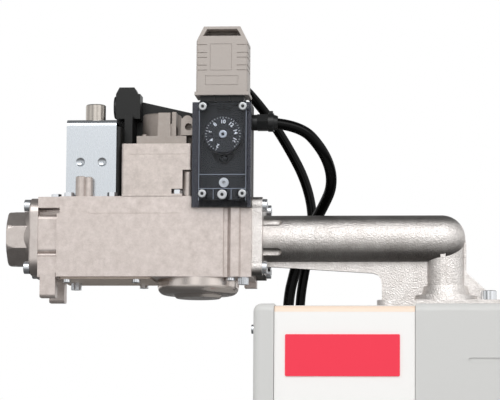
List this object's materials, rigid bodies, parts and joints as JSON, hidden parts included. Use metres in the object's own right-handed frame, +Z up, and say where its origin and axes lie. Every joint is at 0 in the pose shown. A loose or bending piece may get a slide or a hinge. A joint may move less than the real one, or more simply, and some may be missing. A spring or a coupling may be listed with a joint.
{
  "type": "gas burner",
  "caption": "Forced-draught gas burner: boxed fan housing with blast tube and boiler flange, cast gas arm, and a solenoid gas valve with pressure switch, mains plug and two cables.",
  "frame": {"origin": "on the blast tube's axis, at the face of the flange gasket that meets the boiler", "axes": "+X is the firing direction along the blast tube, +Z is up, +Y is the motor's side"},
  "size_m": [0.7763, 0.3, 0.584],
  "materials": {
    "air_box": "powder coat, dark grey",
    "arm_bolts": "bright zinc plated",
    "badge_plate": "printed film, bare",
    "baffle_plate": "stainless, punched",
    "base_pan": "powder coat, grey",
    "blast_tube": "stainless, rolled",
    "boiler_flange": "machined, oiled",
    "bottom_cover": "die-cast, fine grain",
    "bottom_screws": "bright zinc plated",
    "cable_gland": "moulded, satin",
    "cable_grommets": "moulded, matt",
    "coil_block": "moulded, matt",
    "coil_yoke": "zinc plated sheet, satin",
    "control_box": "moulded, matt",
    "core_tubes": "zinc plated, turned",
    "cover_screws": "bright zinc plated",
    "damper_actuator": "moulded, matt",
    "damper_blade": "zinc plated sheet",
    "electrodes": "glazed ceramic",
    "fan_housing": "die-cast, as cast",
    "fan_wheel": "galvanised sheet",
    "flange_gasket": "ceramic fibre, pressed",
    "gas_arm": "sand-cast, blasted",
    "gas_lance": "drawn tube",
    "governor_case": "die-cast, fine grain",
    "governor_dish": "turned, satin",
    "hood_screws": "zinc plated",
    "hood_shell": "powder coat, light grey",
    "ignition_transformer": "potted, matt",
    "inlet_armature": "turned",
    "inlet_flange": "die-cast, machined mouth",
    "inlet_screws": "zinc plated",
    "lower_test_plugs": "bright zinc plated",
    "motor_capacitor": "moulded, matt",
    "motor_case": "enamel, dark grey",
    "motor_rotor": "ground",
    "outlet_armature": "turned",
    "outlet_screws": "zinc plated",
    "plug_boot": "moulded, matt",
    "plug_cable": "extruded jacket, satin",
    "range_clamp": "die-cast",
    "reset_button": "moulded, polished",
    "sealing_plug": "moulded, satin",
    "side_panels": "powder coat, ivory white",
    "signal_plug": "moulded, fine grain",
    "spring_tower": "die-cast",
    "switch_base": "moulded, satin",
    "switch_cable": "extruded jacket, satin",
    "switch_cover": "clear moulding, polished",
    "switch_dial": "moulded, satin",
    "switch_socket": "moulded, matt",
    "terminal_block": "moulded, matt",
    "terminal_cap": "moulded, satin",
    "terminal_cover": "moulded, satin",
    "test_button": "moulded, polished",
    "test_nipples": "die-cast",
    "top_screws": "bright zinc plated",
    "valve_body": "pressure die-cast, fine grain",
    "vent_lug": "die-cast"
  },
  "bodies": {
    "burner": {"air_box": "air_box", "arm_bolts": "arm_bolts", "badge_plate": "badge_plate", "base_pan": "base_pan", "blast_tube": "blast_tube", "boiler_flange": "boiler_flange", "bottom_cover": "bottom_cover", "bottom_screws": "bottom_screws", "cable_gland": "cable_gland", "cable_grommets": "cable_grommets", "coil_block": "coil_block", "coil_yoke": "coil_yoke", "control_box": "control_box", "core_tubes": "core_tubes", "cover_screws": "cover_screws", "damper_actuator": "damper_actuator", "fan_housing": "fan_housing", "flange_gasket": "flange_gasket", "gas_arm": "gas_arm", "governor_case": "governor_case", "governor_dish": "governor_dish", "hood_screws": "hood_screws", "hood_shell": "hood_shell", "ignition_transformer": "ignition_transformer", "inlet_flange": "inlet_flange", "inlet_screws": "inlet_screws", "lower_test_plugs": "lower_test_plugs", "motor_capacitor": "motor_capacitor", "motor_case": "motor_case", "outlet_screws": "outlet_screws", "plug_boot": "plug_boot", "plug_cable": "plug_cable", "range_clamp": "range_clamp", "sealing_plug": "sealing_plug", "side_panels": "side_panels", "signal_plug": "signal_plug", "spring_tower": "spring_tower", "switch_base": "switch_base", "switch_cable": "switch_cable", "switch_cover": "switch_cover", "switch_socket": "switch_socket", "terminal_block": "terminal_block", "terminal_cap": "terminal_cap", "terminal_cover": "terminal_cover", "test_button": "test_button", "test_nipples": "test_nipples", "top_screws": "top_screws", "valve_body": "valve_body", "vent_lug": "vent_lug"},
    "fan": {"fan_wheel": "fan_wheel", "motor_rotor": "motor_rotor"},
    "damper": {"damper_blade": "damper_blade"},
    "head": {"gas_lance": "gas_lance", "baffle_plate": "baffle_plate", "electrodes": "electrodes"},
    "inlet_valve": {"inlet_armature": "inlet_armature"},
    "outlet_valve": {"outlet_armature": "outlet_armature"},
    "dial": {"switch_dial": "switch_dial"},
    "reset": {"reset_button": "reset_button"}
  },
  "joints": [
    {"name": "fan_spin", "type": "hinge", "parent": "burner", "child": "fan", "pos_m": [-0.212, 0.05, -0.062], "axis": [0, 1, 0], "continuous": true},
    {"name": "damper_turn", "type": "hinge", "parent": "burner", "child": "damper", "pos_m": [-0.212, -0.073, -0.124], "axis": [1, 0, 0], "range_deg": [0, 90]},
    {"name": "head_slide", "type": "slide", "parent": "burner", "child": "head", "axis": [1, 0, 0], "range_m": [0, 0.02]},
    {"name": "inlet_valve_lift", "type": "slide", "parent": "burner", "child": "inlet_valve", "axis": [0, 0, 1], "range_m": [0, 0.006], "stiffness_N_per_m": 600, "springref_m": -0.01},
    {"name": "outlet_valve_lift", "type": "slide", "parent": "burner", "child": "outlet_valve", "axis": [0, 0, 1], "range_m": [0, 0.006], "stiffness_N_per_m": 600, "springref_m": -0.01},
    {"name": "dial_turn", "type": "hinge", "parent": "burner", "child": "dial", "pos_m": [-0.3503, -0.045, 0.3046], "axis": [0, 1, 0], "range_deg": [-150, 150]},
    {"name": "reset_press", "type": "slide", "parent": "burner", "child": "reset", "axis": [1, 0, 0], "range_m": [0, 0.003], "stiffness_N_per_m": 800, "springref_m": -0.002}
  ]
}
